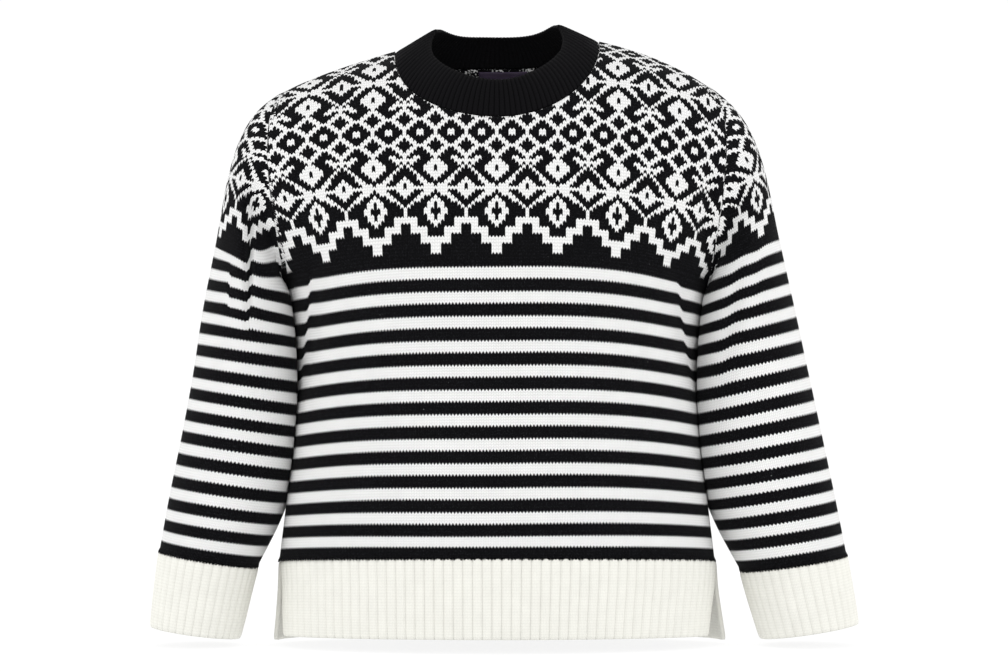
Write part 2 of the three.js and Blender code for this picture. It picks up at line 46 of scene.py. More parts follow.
NEAR = 1e-6
NORMAL_STEP = 1e-3
AT_SEAM = 0.999
DOWN = (0.0, 0.0, -1.0)

# Driving sizes, as in the solids
WALL = 2.8
SEAM_GAP = 0.3
CUFF_GAP = 0.4
SEAM_Y = 6.0
NECK = {"half_width": 102.0, "top_z": 8.0, "front_depth": 79.0, "back_depth": 19.0}
RIM = {
    "half_width": 61.0,
    "top_z": 27.0,
    "front_depth": 63.0,
    "back_depth": 9.0,
    "front_y": 88.0,
    "back_y": 58.0,
    "fullness": 0.15,
    "dip_start": 0.38,
    "dip_end": 0.95,
}

# One row for each level of the body, from the top of the hem to the shoulder seam
LEVEL_COLUMNS = ("front_y", "front_z", "back_y", "back_z", "edge_x", "edge_z", "arm_y", "turn")
BODY_LEVELS = np.array([
    (102, -500, 98, -506, 218, -509, 0, 90),
    (104, -440, 96, -446, 211, -452, 0, 90),
    (107, -380, 94, -388, 204, -395, 0, 90),
    (111, -320, 94, -330, 200, -338, 0, 90),
    (116, -262, 98, -272, 202, -284, 0, 90),
    (119, -214, 102, -226, 209, -240, 0, 90),
    (119, -192, 104, -203, 213, -218, 30, 74),
    (118, -160, 106, -170, 218, -184, 46, 62),
    (113, -118, 108, -126, 224, -140, 54, 54),
    (103, -76, 104, -82, 227, -98, 50, 50),
    (87, -36, 92, -40, 225, -64, 35, 48),
    (54, -1, 60, -3, 218, -43, 17, 46),
    (-6, 22, 6, 22, 208, -32, 0, 45),
], float)
UNDERARM_LEVEL = 5
SHOULDER_LEVEL = len(BODY_LEVELS) - 1

HEM_COLUMNS = ("y", "z", "left_x", "right_x", "edge_y", "edge_z")
HEM_LEVELS = {
    "front": np.array([
        (102, -500, 215, 218, 0, -509),
        (103, -527, 213.5, 216, 2, -535),
        (103, -554, 213, 212.5, 5, -560),
        (101, -579, 212, 210, 9, -583),
    ], float),
    "back": np.array([
        (98, -506, 217, 218, 0, -509),
        (99, -534, 218, 220, 2, -536),
        (101, -562, 220, 224, 4, -563),
        (102, -589, 222.5, 228, 7, -589),
    ], float),
}

RING_COLUMNS = ("outer_x", "outer_z", "inner_x", "inner_z", "centre_y", "half_depth")
SLEEVE_RINGS = {
    "right": np.array([
        (283, -188, 200, -250, 10, 64),
        (298, -254, 195, -303, 13, 63),
        (313, -323, 194, -364, 15, 61),
        (327, -388, 200, -420, 14, 59),
        (339, -446, 218, -470, 11, 56),
        (350, -503, 244, -519, 7, 51),
    ], float),
    "left": np.array([
        (282, -193, 200, -249, 10, 64),
        (295, -258, 195, -299, 13, 63),
        (305, -322, 193, -357, 15, 61),
        (316, -382, 198, -411, 14, 58),
        (328, -442, 215, -464, 11, 54),
        (338, -499, 240, -515, 7, 49),
    ], float),
}
CUFF_RINGS = {
    "right": np.array([
        (350, -503, 244, -519, 7, 51),
        (354, -526, 250, -541, 6, 50),
        (358, -550, 257, -564, 5, 49),
        (361, -571, 264, -586, 4, 48),
    ], float),
    "left": np.array([
        (338, -499, 240, -515, 7, 49),
        (341, -524, 246, -538, 6, 48),
        (344, -550, 252, -563, 5, 47),
        (346, -574, 258, -586, 4, 46),
    ], float),
}
BODY_CLEARANCE = 1.4
START_PULL = 0.36
END_PULL = 0.33
RING_STEP = 0.05
# Between these turns the sleeve's wall turns over, so that it can hang beside the body
UNDERARM_BLEND = (128.0, 176.0)
# Where the sleeve leaves the shoulder seam, over how many degrees, and where it leaves the underarm
TOP_OUTWARD = (0.88, 0.0, -0.47)
TOP_WIDTH = 12.0
UNDERARM_OUTWARD = (1.0, 0.0, 0.1)

# Soft folds, each a line seen from the front: x0, z0, x1, z1, depth and half width. The ends of a fold
# have this part of its depth. Folds fade over one part in so many of a panel's half width, and of a cap.
FOLD_END = 0.35
EDGE_FADE = 14
CAP_FADE = 3
FOLDS = {
    "front": [
        (-178, -212, -196, -345, 5, 11),
        (178, -214, 194, -330, 5, 11),
        (214, -110, 206, -205, 5, 9),
        (-196, -120, -186, -205, 3, 10),
    ],
    "back": [(-170, -205, -192, -350, 5, 13), (166, -210, 190, -325, 4, 12)],
    "left": [(-243, -140, -245, -275, 8, 4), (-252, -150, -254, -262, -4, 10)],
    "right": [(238, -215, 224, -320, 5, 9), (262, -190, 256, -262, 3, 10)],
}

# The left shoulder hangs lower than the right: how far, at even steps across, fading out down the yoke
SHOULDER_DROP = np.array([(0,), (0,), (4,), (9,), (11,), (9.5,), (4,), (0,), (0,)], float)
DROP_PLACES = {"start_x": -297.0, "step_x": 40.0, "low_z": -125.0, "high_z": -20.0}

# Knitting: the stitches and the bands
STITCH_WIDTH = 3.284
YOKE_ROW = 2.995
STRIPE_ROWS = 4
BODY_STRIPES = 24
SLEEVE_STRIPES = 28
SLEEVE_WALES = 99
SLEEVE_CAP_ROW = 2.9
# How far the two legs of a stitch rise from its middle, in rows, in the stripes and in the yoke
STRIPE_SLANT = 0.86
YOKE_SLANT = 0.7
# The rows above the stripes between which one goes over into the other
SLANT_CHANGE = (-2, 4)
# Part of the rise of a yoke row that follows the height seen from the front, not the cloth's length
YOKE_UPRIGHT = 0.4
# How much wider the outer stitches of the upper yoke lie, and where the widening starts and is full
FAN = {"left": 0.08, "right": 0.04}
FAN_REACH = 172.0
FAN_LEVELS = (5.5, 9.5)
# How much further the rows droop: a level, the left edge, the right edge
DROOP = np.array([
    (0, 0, 0),
    (4, -1, 1),
    (5, -3, 2),
    (7, -6, 8),
    (9, -6, 8),
    (10.5, -5, 5),
    (12, 0, 0),
], float)
# Which stitch of the chart runs down the outer side of each sleeve
SLEEVE_TURN = {"left": 11, "right": 2}

# The yoke chart, half of its repeat: "#" is black and "o" is white, from the middle of the ring motif
# outward to the next motif. Its rows run down from the middle of the small lattice to the border.
LATTICE = """
o###oo###o
oo######oo
#oo####oo#
##oo##oo##
###oooo###
##oo##oo##
#oo####oo#
oo######oo
o####oo##o
oo####oooo
ooo####o#o
#ooo####o#
#ooo###o##
ooo###o###
oo###o####
o###oo###o
###oo###oo
#ooo###oo#
ooooooooo#
""".split()
BORDER = """
#ooo###ooo
##ooo###oo
o###oo###o
oo###oo###
#oo####o##
#oo#####o#
##oo#####o
##oo#####o
#oo######o
#oo###oooo
oo####oooo
o#####oo##
###ooooo##
###ooooo##
###oo#####
ooooo#####
ooooo#####
oo########
oo########
oo########
##########
##########
##########
##########
""".split()
CHART = np.array([[mark == "o" for mark in row] for row in LATTICE + BORDER], float)
LATTICE_HALF = len(LATTICE) - 1
REPEAT_HALF = CHART.shape[1] - 1


# Where a crease hides some cloth, so that the rows step: x0, z0, x1, z1 of a line seen from the front, how
# far the rows on its outer side lie below the others, how far that reaches, and how soft the step is. The
# step starts a little before the line does: its lead, and the part of the line where it starts.
STEP_LEAD = 0.12
STEP_START = -0.13
ROW_STEPS = {
    "front": [(-186, -222, -201, -345, 8, 12, 1.5), (183, -232, 198, -335, 7, 12, 2)],
    "back": [(-170, -205, -192, -350, 5, 14, 3), (166, -210, 190, -325, 5, 12, 3)],
    "left": [(-243, -160, -245, -280, 12, 18, 1.8), (-263, -215, -266, -262, -5, 8, 1.5)],
    "right": [(236, -215, 224, -340, -7, 14, 9), (262, -190, 256, -262, -3, 12, 7)],
}
# How far the rows of a sleeve are lifted at its inner side, at the top of the stripes
SLEEVE_LIFT = {"right": 25.0, "left": 33.0}
# How far the stripes of a sleeve are lifted all round: at their top, and more at the middle of the sleeve
SLEEVE_RAISE = {"left": (-1.0, 7.5), "right": (0.5, 7.5)}
# The lift at the top goes on down the sleeve, and fades over the last part of it: one part in so many
RAISE_FADE = 6
# How far each edge of a black stripe lies outside its even place, in rows
STRIPE_BIAS = 0.15
# How far the stripes hang lower in the middle of a panel: the most, its place and its reach to each side,
# and the levels between which it is full, with the part of a level over which it fades
STRIPE_SAG = {"most": 2.9, "centre_x": -35.0, "reach": 139.0, "low": 0.45, "high": 5.0, "fade": 1.6}
# How far the first stripes are drawn up beside the body: the most, and the turns where it starts and is
# full. It fades over some rows up and down.
SLEEVE_GATHER = {"right": (4.0, 90.0, 150.0), "left": (22.0, 88.0, 145.0)}
GATHER_ROWS = 11.0
# The turns between which it ends, behind the underarm
GATHER_END = (180, 235)


def unit(vectors):
    lengths = np.linalg.norm(vectors, axis=-1, keepdims=True)
    return vectors / np.maximum(lengths, ALMOST)


def lerp(start, end, part):
    return start + (end - start) * part


def ramp(value, start, end):
    """0 up to the start and 1 from the end, with an even rise between them."""
    return np.clip((value - start) / (end - start), 0, 1)


def soft(part):
    return part * part * (3 - 2 * part)


def eased(value, start, end):
    return soft(ramp(value, start, end))


def leg_slant(rows_above_stripes):
    """How far apart in height the two sides of a leg are, in rows."""
    return lerp(STRIPE_SLANT, YOKE_SLANT, ramp(rows_above_stripes, *SLANT_CHANGE))


def biased(place):
    """Places in rows above the top of the stripes, moved so that the black stripes are the taller ones."""
    held = np.clip(1 - place / STRIPE_ROWS, 0, 1)
    return place - STRIPE_BIAS * np.cos(np.pi * place / STRIPE_ROWS) * held


def stripe_sag(x, level):
    middle = np.exp(-(((x - STRIPE_SAG["centre_x"]) / STRIPE_SAG["reach"]) ** 2))
    above = ramp(level, STRIPE_SAG["high"], STRIPE_SAG["high"] + STRIPE_SAG["fade"])
    return STRIPE_SAG["most"] * middle * ramp(level, 0, STRIPE_SAG["low"]) * (1 - above)


def yoke_is_white(wale, row_above_stripes):
    """Whether a yoke stitch is white: wale counts from the middle, rows count up from the first stripe."""
    chart_row = len(CHART) - 1 - row_above_stripes
    # The middle row of the lattice is knitted twice
    mirrored = np.abs(chart_row + 1) % (2 * LATTICE_HALF)
    mirrored = np.where(mirrored > LATTICE_HALF, 2 * LATTICE_HALF - mirrored, mirrored)
    chart_row = np.where(chart_row >= 0, chart_row, mirrored)
    column = np.abs(wale) % (2 * REPEAT_HALF)
    column = np.where(column > REPEAT_HALF, 2 * REPEAT_HALF - column, column)
    return CHART[chart_row, column]


def smooth_value(rows, columns, name, place):
    """A smooth value between the rows of a table, at places counted in rows."""
    values = rows[:, columns.index(name)]
    last = len(values) - 1
    padded = np.concatenate(([2 * values[0] - values[1]], values, [2 * values[-1] - values[-2]]))
    at = np.clip(place, 0, last)
    index = np.minimum(np.floor(at).astype(int), last - 1)
    part = at - index
    before, start, end, after = (padded[index + k] for k in range(4))
    start_slope = (end - before) / 2
    end_slope = (after - start) / 2
    square = part * part
    cube = square * part
    return (
        start * (2 * cube - 3 * square + 1)
        + start_slope * (cube - 2 * square + part)
        + end * (3 * square - 2 * cube)
        + end_slope * (cube - square)
    )


def body_value(name, level):
    return smooth_value(BODY_LEVELS, LEVEL_COLUMNS, name, level)


def shoulder_drop(x, z):
    place = (x - DROP_PLACES["start_x"]) / DROP_PLACES["step_x"]
    drop = smooth_value(SHOULDER_DROP, ("drop",), "drop", place)
    return drop * eased(z, DROP_PLACES["low_z"], DROP_PLACES["high_z"])


def line_places(line, x, z):
    """Where points lie seen from the front: the part of a line, how far beside it, and its length."""
    x0, z0, x1, z1 = line
    run_x = x1 - x0
    run_z = z1 - z0
    length = math.hypot(run_x, run_z)
    along = ((x - x0) * run_x + (z - z0) * run_z) / length**2
    aside = ((x - x0) * -run_z + (z - z0) * run_x) / length
    return along, aside, length


def fold_depth(piece, x, z):
    depth = 0
    for *line, deep, width in FOLDS[piece]:
        along, aside, length = line_places(line, x, z)
        held = np.clip(along, 0, 1)
        distance = np.hypot(aside, (along - held) * length)
        fade = lerp(FOLD_END, 1, np.sin(np.pi * held))
        depth = depth + deep * fade * np.exp(-((distance / width) ** 2))
    return depth


def row_shift(piece, x, z):
    """How far the rows lie below their even places near the creases, seen from the front."""
    shift = 0
    for *line, step, reach, softness in ROW_STEPS[piece]:
        x0, z0, _, z1 = line
        along, aside, _ = line_places(line, x, z)
        outward = aside * math.copysign(1, x0) * math.copysign(1, z0 - z1)
        fade = np.sin(np.pi * np.clip(lerp(STEP_LEAD, 1, along), 0, 1)) ** 0.5
        fade = np.where((along < STEP_START) | (along > 1), 0, fade)
        shift = shift + step / 2 * np.tanh(outward / softness) * np.exp(-np.abs(outward) / reach) * fade
    return shift


def panel_point(side, across, level):
    """A point of a body panel: across runs from -1 to 1, level counts table rows."""
    across, level = np.broadcast_arrays(across, level)
    sign = -1 if side == "front" else 1
    centre_y = sign * body_value(side + "_y", level)
    centre_z = body_value(side + "_z", level)
    turn = np.radians(np.minimum(body_value("turn", level), 90))
    arm_y = np.where(level <= UNDERARM_LEVEL, 0, np.maximum(body_value("arm_y", level), 0))
    edge_y = SEAM_Y + sign * arm_y
    reach = np.sin(across * turn) / np.sin(turn)
    rounding = (1 - np.cos(across * turn)) / (1 - np.cos(turn))
    x = body_value("edge_x", level) * reach
    y = lerp(centre_y, edge_y, rounding)
    z = lerp(centre_z, body_value("edge_z", level), across**2)
    return np.stack([x, y, z], -1)


def panel_normal(side, across, level):
    step = NORMAL_STEP
    across, level = np.broadcast_arrays(across, level)
    across_run = panel_point(side, across + step, level) - panel_point(side, across - step, level)
    high = np.minimum(level + step, SHOULDER_LEVEL)
    low = np.maximum(level - step, 0)
    up_run = panel_point(side, across, high) - panel_point(side, across, low)
    normal = unit(np.cross(across_run, up_run))
    if side == "back":
        normal = -normal
    on_seam = (np.abs(across) > AT_SEAM) & (level <= UNDERARM_LEVEL + NEAR)
    on_seam |= level > SHOULDER_LEVEL - NORMAL_STEP
    normal[..., 1] = np.where(on_seam, 0, normal[..., 1])
    return unit(normal)


def in_neck(side, across, level):
    point = panel_point(side, across, level)
    wide = point[..., 0] / NECK["half_width"]
    deep = np.minimum(point[..., 2] - NECK["top_z"], 0) / NECK[side + "_depth"]
    return wide**2 + deep**2 < 1


LEVEL_SAMPLES = 241
ACROSS_SAMPLES = 401
NECK_HALVINGS = 14
PANEL_HALVINGS = 36
UNDERARM_SAMPLE = round(UNDERARM_LEVEL / SHOULDER_LEVEL * (LEVEL_SAMPLES - 1))
BODY_ROWS = BODY_STRIPES * STRIPE_ROWS


def run_lengths(points, axis):
    """Lengths from the first point on, along one axis of a grid of points."""
    steps = np.linalg.norm(np.diff(points, axis=axis), axis=-1)
    return np.concatenate([np.zeros_like(steps.take([0], axis)), np.cumsum(steps, axis=axis)], axis=axis)


class PanelMap:
    """Where the stitches of a body panel lie: arc lengths along the rows and up the wales."""

    def __init__(self, side):
        self.side = side
        self.levels = np.linspace(0, SHOULDER_LEVEL, LEVEL_SAMPLES)
        self.centre_z = body_value(side + "_z", self.levels)
        self.half = np.linspace(0, 1, ACROSS_SAMPLES)
        self.arc = run_lengths(panel_point(side, self.half[:, None], self.levels), 0)

    def across(self, arc, level):
        """Across for arc lengths from the middle, at levels."""
        arc, level = np.broadcast_arrays(arc, level)
        place = np.clip(level, 0, SHOULDER_LEVEL) / SHOULDER_LEVEL * (LEVEL_SAMPLES - 1)
        low = np.minimum(np.floor(place).astype(int), LEVEL_SAMPLES - 2)
        part = place - low
        size = np.abs(arc)
        fan = np.where(arc < 0, FAN["left"], FAN["right"]) * eased(level, *FAN_LEVELS)
        size = size * (1 + fan * (size / FAN_REACH) ** 2)
        result = np.zeros_like(size)
        for index in np.unique(low):
            chosen = low == index
            at_low = np.interp(size[chosen], self.arc[:, index], self.half)
            at_high = np.interp(size[chosen], self.arc[:, index + 1], self.half)
            result[chosen] = lerp(at_low, at_high, part[chosen])
        return np.sign(arc) * result

    def row_levels(self, place, heights):
        """Levels for places in rows above the hem, on a wale whose cloth has these heights."""
        end = UNDERARM_SAMPLE + 1
        low_z = lerp(self.centre_z[0], self.centre_z[UNDERARM_SAMPLE], place / BODY_ROWS)
        low = np.interp(low_z, self.centre_z[:end], self.levels[:end])
        high = np.interp((place - BODY_ROWS) * YOKE_ROW, heights, self.levels)
        return np.where(place <= BODY_ROWS, low, high)

    def neck_level(self, arc, index):
        """The level where the wale at an arc length meets the neckline, near a sampled level."""
        if index >= LEVEL_SAMPLES - 1:
            return float(SHOULDER_LEVEL)
        low = self.levels[index - 1]
        high = self.levels[index]
        for _ in range(NECK_HALVINGS):
            middle = (low + high) / 2
            if in_neck(self.side, self.across(arc, middle), middle).all():
                high = middle
            else:
                low = middle
        return low


# How far the last black row hangs over the rib, in each second half stitch, and how far it stands out
TOOTH = {"length": 1.9, "lift": 1.2}


def hang_over(points, inner, end, before, held):
    """Let the last row hang over the rib below it, with a tooth for each stitch."""
    down = unit(points[:, end] - points[:, before])
    out = unit(points[:, end] - inner[:, end])
    tooth = np.where((np.arange(len(points)) % 2 == 1) & ~held, TOOTH["length"], 0.0)
    lift = np.where(held, 0.0, TOOTH["lift"])
    points[:, end] += down * tooth[:, None] + out * lift[:, None]


def panel_grid(side):
    """Both faces and the stitch counts of a panel, on half stitches across and whole rows up."""
    plan = PanelMap(side)
    half_wales = math.ceil(plan.arc[-1].max() / STITCH_WIDTH) * 2
    wales = np.arange(-half_wales, half_wales + 1) / 2
    arcs = wales[:, None] * STITCH_WIDTH
    across = plan.across(arcs, plan.levels)
    points = panel_point(side, across, plan.levels)
    inside = in_neck(side, across, plan.levels) & (plan.levels > UNDERARM_LEVEL)
    first_inside = np.where(inside.any(axis=1), inside.argmax(axis=1), LEVEL_SAMPLES - 1)
    tops = np.array([[plan.neck_level(arc, index)] for arc, index in zip(arcs, first_inside)])
    heights = lerp(run_lengths(points, 1), points[..., 2], YOKE_UPRIGHT)
    heights -= heights[:, [UNDERARM_SAMPLE]]
    rows = np.arange(BODY_ROWS + math.ceil(heights.max() / YOKE_ROW) + 2)
    level = np.zeros((len(wales), len(rows)))
    for i in range(len(wales)):
        leg = 0.5 if i % 2 == 0 else -0.5
        place = biased(rows + leg * leg_slant(rows - BODY_ROWS) - BODY_ROWS) + BODY_ROWS
        place[0] = 0
        level[i] = np.minimum(plan.row_levels(place, heights[i]), tops[i])
    across = plan.across(arcs, level)
    x, _, z = np.moveaxis(panel_point(side, across, level), -1, 0)
    rise = np.interp(level, plan.levels, np.gradient(plan.centre_z, plan.levels))
    lower = row_shift(side, x, z) + side_droop(across, level) - shoulder_drop(x, z) + stripe_sag(x, level)
    level = np.clip(level - lower / rise, 0, tops)
    across = plan.across(arcs, level)
    # The wales that have run out at an edge all share the edge's own rows
    run_out = np.abs(across) > 1 - ALMOST
    edge_levels = np.where(wales[:, None] < 0, *(plan.row_levels(rows, heights[end]) for end in (0, -1)))
    level = np.where(run_out, edge_levels, level)
    across = plan.across(arcs, level)
    points = panel_point(side, across, level)
    normals = panel_normal(side, across, level)
    edge_fade = np.minimum(1, EDGE_FADE * (1 - np.abs(across)))
    fold = fold_depth(side, points[..., 0], points[..., 2]) * edge_fade
    points = points - normals * fold[..., None]
    at_edge = np.abs(across) > 1 - ALMOST
    inner = points - normals * WALL
    hang_over(points, inner, 0, 1, at_edge[:, 0])
    shown = np.where(at_edge, 0, np.abs(wales)[:, None])
    return points, inner, wales, rows - BODY_ROWS, shown.max(axis=0)


def side_droop(across, level):
    """How far the rows lie lower toward the side edges than the surface's own rows do."""
    turn = np.radians(np.minimum(body_value("turn", level), 90))
    reach = np.abs(np.sin(across * turn) / np.sin(turn))
    own = body_value("front_z", level) - body_value("edge_z", level)
    droop_level, left, right = DROOP.T
    extra = np.where(across < 0, np.interp(level, droop_level, left), np.interp(level, droop_level, right))
    lower = np.minimum(1, (SHOULDER_LEVEL - level) / 2)
    return (own * (reach**3 - across**2) * lower + extra * reach**2) * np.clip(level, 0, 1)


# Sleeves
def ring_value(rings, name, place):
    return smooth_value(rings, RING_COLUMNS, name, place)


def ring_point(rings, place, turn, inset):
    outer = np.stack([ring_value(rings, "outer_x", place), ring_value(rings, "outer_z", place)], -1)
    inner = np.stack([ring_value(rings, "inner_x", place), ring_value(rings, "inner_z", place)], -1)
    centre = (outer + inner) / 2
    half = (outer - inner) / 2
    length = np.linalg.norm(half, axis=-1, keepdims=True)
    half = half * (length - np.asarray(inset)[..., None]) / length
    angle = np.radians(turn)
    across = centre + half * np.cos(angle)[..., None]
    depth = ring_value(rings, "half_depth", place) - inset
    y = ring_value(rings, "centre_y", place) - depth * np.sin(angle)
    return np.stack([across[..., 0], y, across[..., 1]], -1)


SIDE_PLACES = np.linspace(0, UNDERARM_LEVEL, 101)
SIDE_EDGE_Z = body_value("edge_z", SIDE_PLACES)


def clear_of_body(points, inset):
    """Sleeve points, moved outward where they would come nearer to the body than the clearance."""
    x, y, z = points[..., 0], points[..., 1], points[..., 2]
    place = np.interp(z, SIDE_EDGE_Z, SIDE_PLACES)
    depth = np.where(
        y < SEAM_Y, body_value("front_y", place) + SEAM_Y, body_value("back_y", place) - SEAM_Y
    )
    part = np.minimum(np.abs(y - SEAM_Y) / depth, 1)
    side = body_value("edge_x", place) * np.sqrt(1 - part**2)
    held = np.maximum(x, side + BODY_CLEARANCE + inset)
    below = z <= BODY_LEVELS[UNDERARM_LEVEL, LEVEL_COLUMNS.index("edge_z")]
    return np.stack([np.where(below, held, x), y, z], -1)


ARMHOLE_SAMPLES = 240


def armhole(turns):
    """Start points, normals and outward directions of the sleeve at the armhole."""
    levels = np.linspace(SHOULDER_LEVEL, UNDERARM_LEVEL, ARMHOLE_SAMPLES)
    from_top = np.where(turns <= 180, turns, 360 - turns)
    found = []
    for side in ("front", "back"):
        edge = panel_point(side, 1.0, levels)
        length = run_lengths(edge, 0)
        level = np.interp(from_top / 180 * length[-1], length, levels)
        level = np.where(from_top >= 180 - NEAR, UNDERARM_LEVEL, level)
        point = panel_point(side, 1.0, level)
        normal = panel_normal(side, 1.0, level)
        beyond = panel_point(side, 1 + NORMAL_STEP, level)
        outward = unit(beyond - panel_point(side, 1 - NORMAL_STEP, level))
        found.append((point, normal, outward))
    in_front = (turns <= 180)[:, None]
    point, normal, outward = (np.where(in_front, *pair) for pair in zip(*found))
    at_top = np.exp(-((from_top / TOP_WIDTH) ** 2))[:, None]
    outward = unit(lerp(outward, np.array(TOP_OUTWARD), at_top))
    part = eased(from_top, *UNDERARM_BLEND)[:, None]
    normal = unit(lerp(normal, np.array(DOWN), part))
    outward = unit(lerp(outward, np.array(UNDERARM_OUTWARD), part))
    return point, normal, outward


def sleeve_surface(side, turns, place, inset):
    """Sleeve points for turns in degrees and places from 0 at the armhole, 1 at the underarm ring."""
    rings = SLEEVE_RINGS[side]
    start, normal, outward = armhole(turns)
    start = start - normal * inset
    zero = np.zeros_like(turns)
    end = clear_of_body(ring_point(rings, zero, turns, inset + zero), inset)
    ahead = clear_of_body(ring_point(rings, zero + RING_STEP, turns, inset + zero), inset)
    span = np.linalg.norm(end - start, axis=-1)[:, None]
    first = start + outward * span * START_PULL
    second = end - unit(ahead - end) * span * END_PULL
    t = np.clip(place, 0, 1)[..., None]
    rest = 1 - t
    cap = (
        rest**3 * start[:, None]
        + 3 * rest**2 * t * first[:, None]
        + 3 * rest * t**2 * second[:, None]
        + t**3 * end[:, None]
    )
    wide_turns = np.broadcast_to(turns[:, None], place.shape)
    wide_inset = np.full(place.shape, float(inset))
    tube = clear_of_body(ring_point(rings, np.maximum(place - 1, 0), wide_turns, wide_inset), inset)
    return np.where((place < 1)[..., None], cap, tube)


CAP_SAMPLES = 80


def sleeve_grid(side):
    """Both faces of a sleeve, on half stitches around and whole rows down from the armhole."""
    turns = np.arange(2 * SLEEVE_WALES) * 180.0 / SLEEVE_WALES
    cap_places = np.broadcast_to(np.linspace(0, 1, CAP_SAMPLES), (len(turns), CAP_SAMPLES))
    cap = sleeve_surface(side, turns, cap_places, 0.0)
    below_top = run_lengths(cap, 1)
    above_ring = below_top[:, -1:] - below_top
    cap_rows = math.ceil(above_ring.max() / SLEEVE_CAP_ROW) + 1
    tube_rows = SLEEVE_STRIPES * STRIPE_ROWS
    rows = np.arange(cap_rows, -tube_rows - 1, -1)
    ring_count = len(SLEEVE_RINGS[side])
    place = np.zeros((len(turns), len(rows)))
    inward = (1 - np.cos(np.radians(turns))) / 2
    lift = SLEEVE_LIFT[side] * inward / SLEEVE_CAP_ROW
    slant = leg_slant(rows)
    most, start, end = SLEEVE_GATHER[side]
    part = ramp(turns, start, end) * (1 - ramp(turns, *GATHER_END))
    gather = most / SLEEVE_CAP_ROW * soft(part)
    gathered = np.where(rows > 0, 1 - ramp(rows, 0, GATHER_ROWS), np.exp(rows / GATHER_ROWS))
    at_top, more_at_middle = SLEEVE_RAISE[side]
    down = np.clip(-rows / tube_rows, 0, 1)
    fade = np.where(rows > 0, np.exp(-rows / GATHER_ROWS), np.minimum(1, RAISE_FADE * (1 - down)))
    raised = (at_top * fade + more_at_middle * np.sin(np.pi * down)) / SLEEVE_CAP_ROW
    for i in range(len(turns)):
        leg = 0.5 if i % 2 == 0 else -0.5
        height = biased(rows + leg * slant) + raised
        height[-1] = -tube_rows
        height = height + gather[i] * gathered
        height = height + lift[i] * (1 + np.clip(height, -tube_rows, 0) / tube_rows)
        in_cap = np.interp(height * SLEEVE_CAP_ROW, above_ring[i, ::-1], cap_places[i, ::-1])
        in_tube = 1 - height / tube_rows * (ring_count - 1)
        place[i] = np.where(height > 0, in_cap, in_tube)
    mirror = -1 if side == "left" else 1
    facing = np.maximum(np.sin(np.radians(turns)), 0)[:, None]
    seen = sleeve_surface(side, turns, place, 0.0)
    shift = row_shift(side, mirror * seen[..., 0], seen[..., 2]) * np.minimum(1, facing * 2)
    ring_rise = abs(SLEEVE_RINGS[side][-1, 1] - SLEEVE_RINGS[side][0, 1]) / (ring_count - 1)
    place = np.clip(place + shift / ring_rise, 0, ring_count)
    outer = sleeve_surface(side, turns, place, 0.0)
    inner = sleeve_surface(side, turns, place, WALL)
    away = np.minimum(1, place * CAP_FADE)
    hang_over(outer, inner, -1, -2, np.zeros(len(turns), bool))
    for grid in (outer, inner):
        grid[..., 1] += fold_depth(side, mirror * grid[..., 0], grid[..., 2]) * facing * away
        grid[..., 0] *= mirror
    return outer, inner, turns, rows


# Mesh making
def grid_faces(columns, rows, around, flip):
    """Quads of a grid of points, column by column."""
    count = columns if around else columns - 1
    i, j = np.meshgrid(np.arange(count), np.arange(rows - 1), indexing="ij")
    nxt = (i + 1) % columns
    quad = np.stack([i * rows + j, nxt * rows + j, nxt * rows + j + 1, i * rows + j + 1], -1)
    if flip:
        quad = quad[..., ::-1]
    return quad.reshape(-1, 4), i.ravel(), j.ravel()


def quad_uv(left, right, low, high):
    corners = [(left, low), (right, low), (right, high), (left, high)]
    return np.stack([np.stack(corner, -1) for corner in corners], 1)


def build_object(name, points, faces, white, stitch, material):
    """An object of faces, with yarn and stitch data, its doubled points merged."""
    mesh = bpy.data.meshes.new(name)
    points = points.copy()
    points[:, 2] -= shoulder_drop(points[:, 0], points[:, 2])
    mesh.from_pydata((points * MM).tolist(), [], faces)
    yarn = mesh.attributes.new("yarn", "FLOAT", "FACE")
    yarn.data.foreach_set("value", np.asarray(white, np.float32))
    layer = mesh.uv_layers.new(name="stitch")
    layer.data.foreach_set("uv", np.asarray(stitch, np.float32).reshape(-1))
    mesh.materials.append(material)
    shell = bmesh.new()
    shell.from_mesh(mesh)
    bmesh.ops.remove_doubles(shell, verts=shell.verts, dist=MERGE)
    loose = [v for v in shell.verts if not v.link_faces]
    bmesh.ops.delete(shell, geom=loose, context="VERTS")
    if shell.calc_volume(signed=True) < 0:
        bmesh.ops.reverse_faces(shell, faces=shell.faces)
    shell.to_mesh(mesh)
    shell.free()
    mesh.polygons.foreach_set("use_smooth", np.ones(len(mesh.polygons), bool))
    mesh.update()
    obj = bpy.data.objects.new(name, mesh)
    bpy.context.scene.collection.objects.link(obj)
    return obj


def spaced(count, step, around):
    """Every so many places of a row of points, with the last one where the row is open."""
    places = list(range(0, count, step))
    if not around and places[-1] != count - 1:
        places.append(count - 1)
    return places


def rim_faces(fine, coarse, column_places, row_places, around):
    """Faces that join a grid of fine points and a grid of coarse points along their open edges."""
    faces = []
    pairs = list(zip(column_places, column_places[1:]))
    if around:
        pairs.append((column_places[-1], len(fine)))
    for end in (0, -1):
        for number, (a, b) in enumerate(pairs):
            edge = fine[np.arange(a, b + 1) % len(fine), end]
            after = (number + 1) % len(column_places)
            face = edge.tolist() + coarse[[after, number], end].tolist()
            faces.append(face if end == 0 else face[::-1])
    if around:
        return faces
    for end in (0, -1):
        for number, (a, b) in enumerate(zip(row_places, row_places[1:])):
            face = fine[end, a : b + 1].tolist() + coarse[end, [number + 1, number]].tolist()
            faces.append(face[::-1] if end == 0 else face)
    return faces


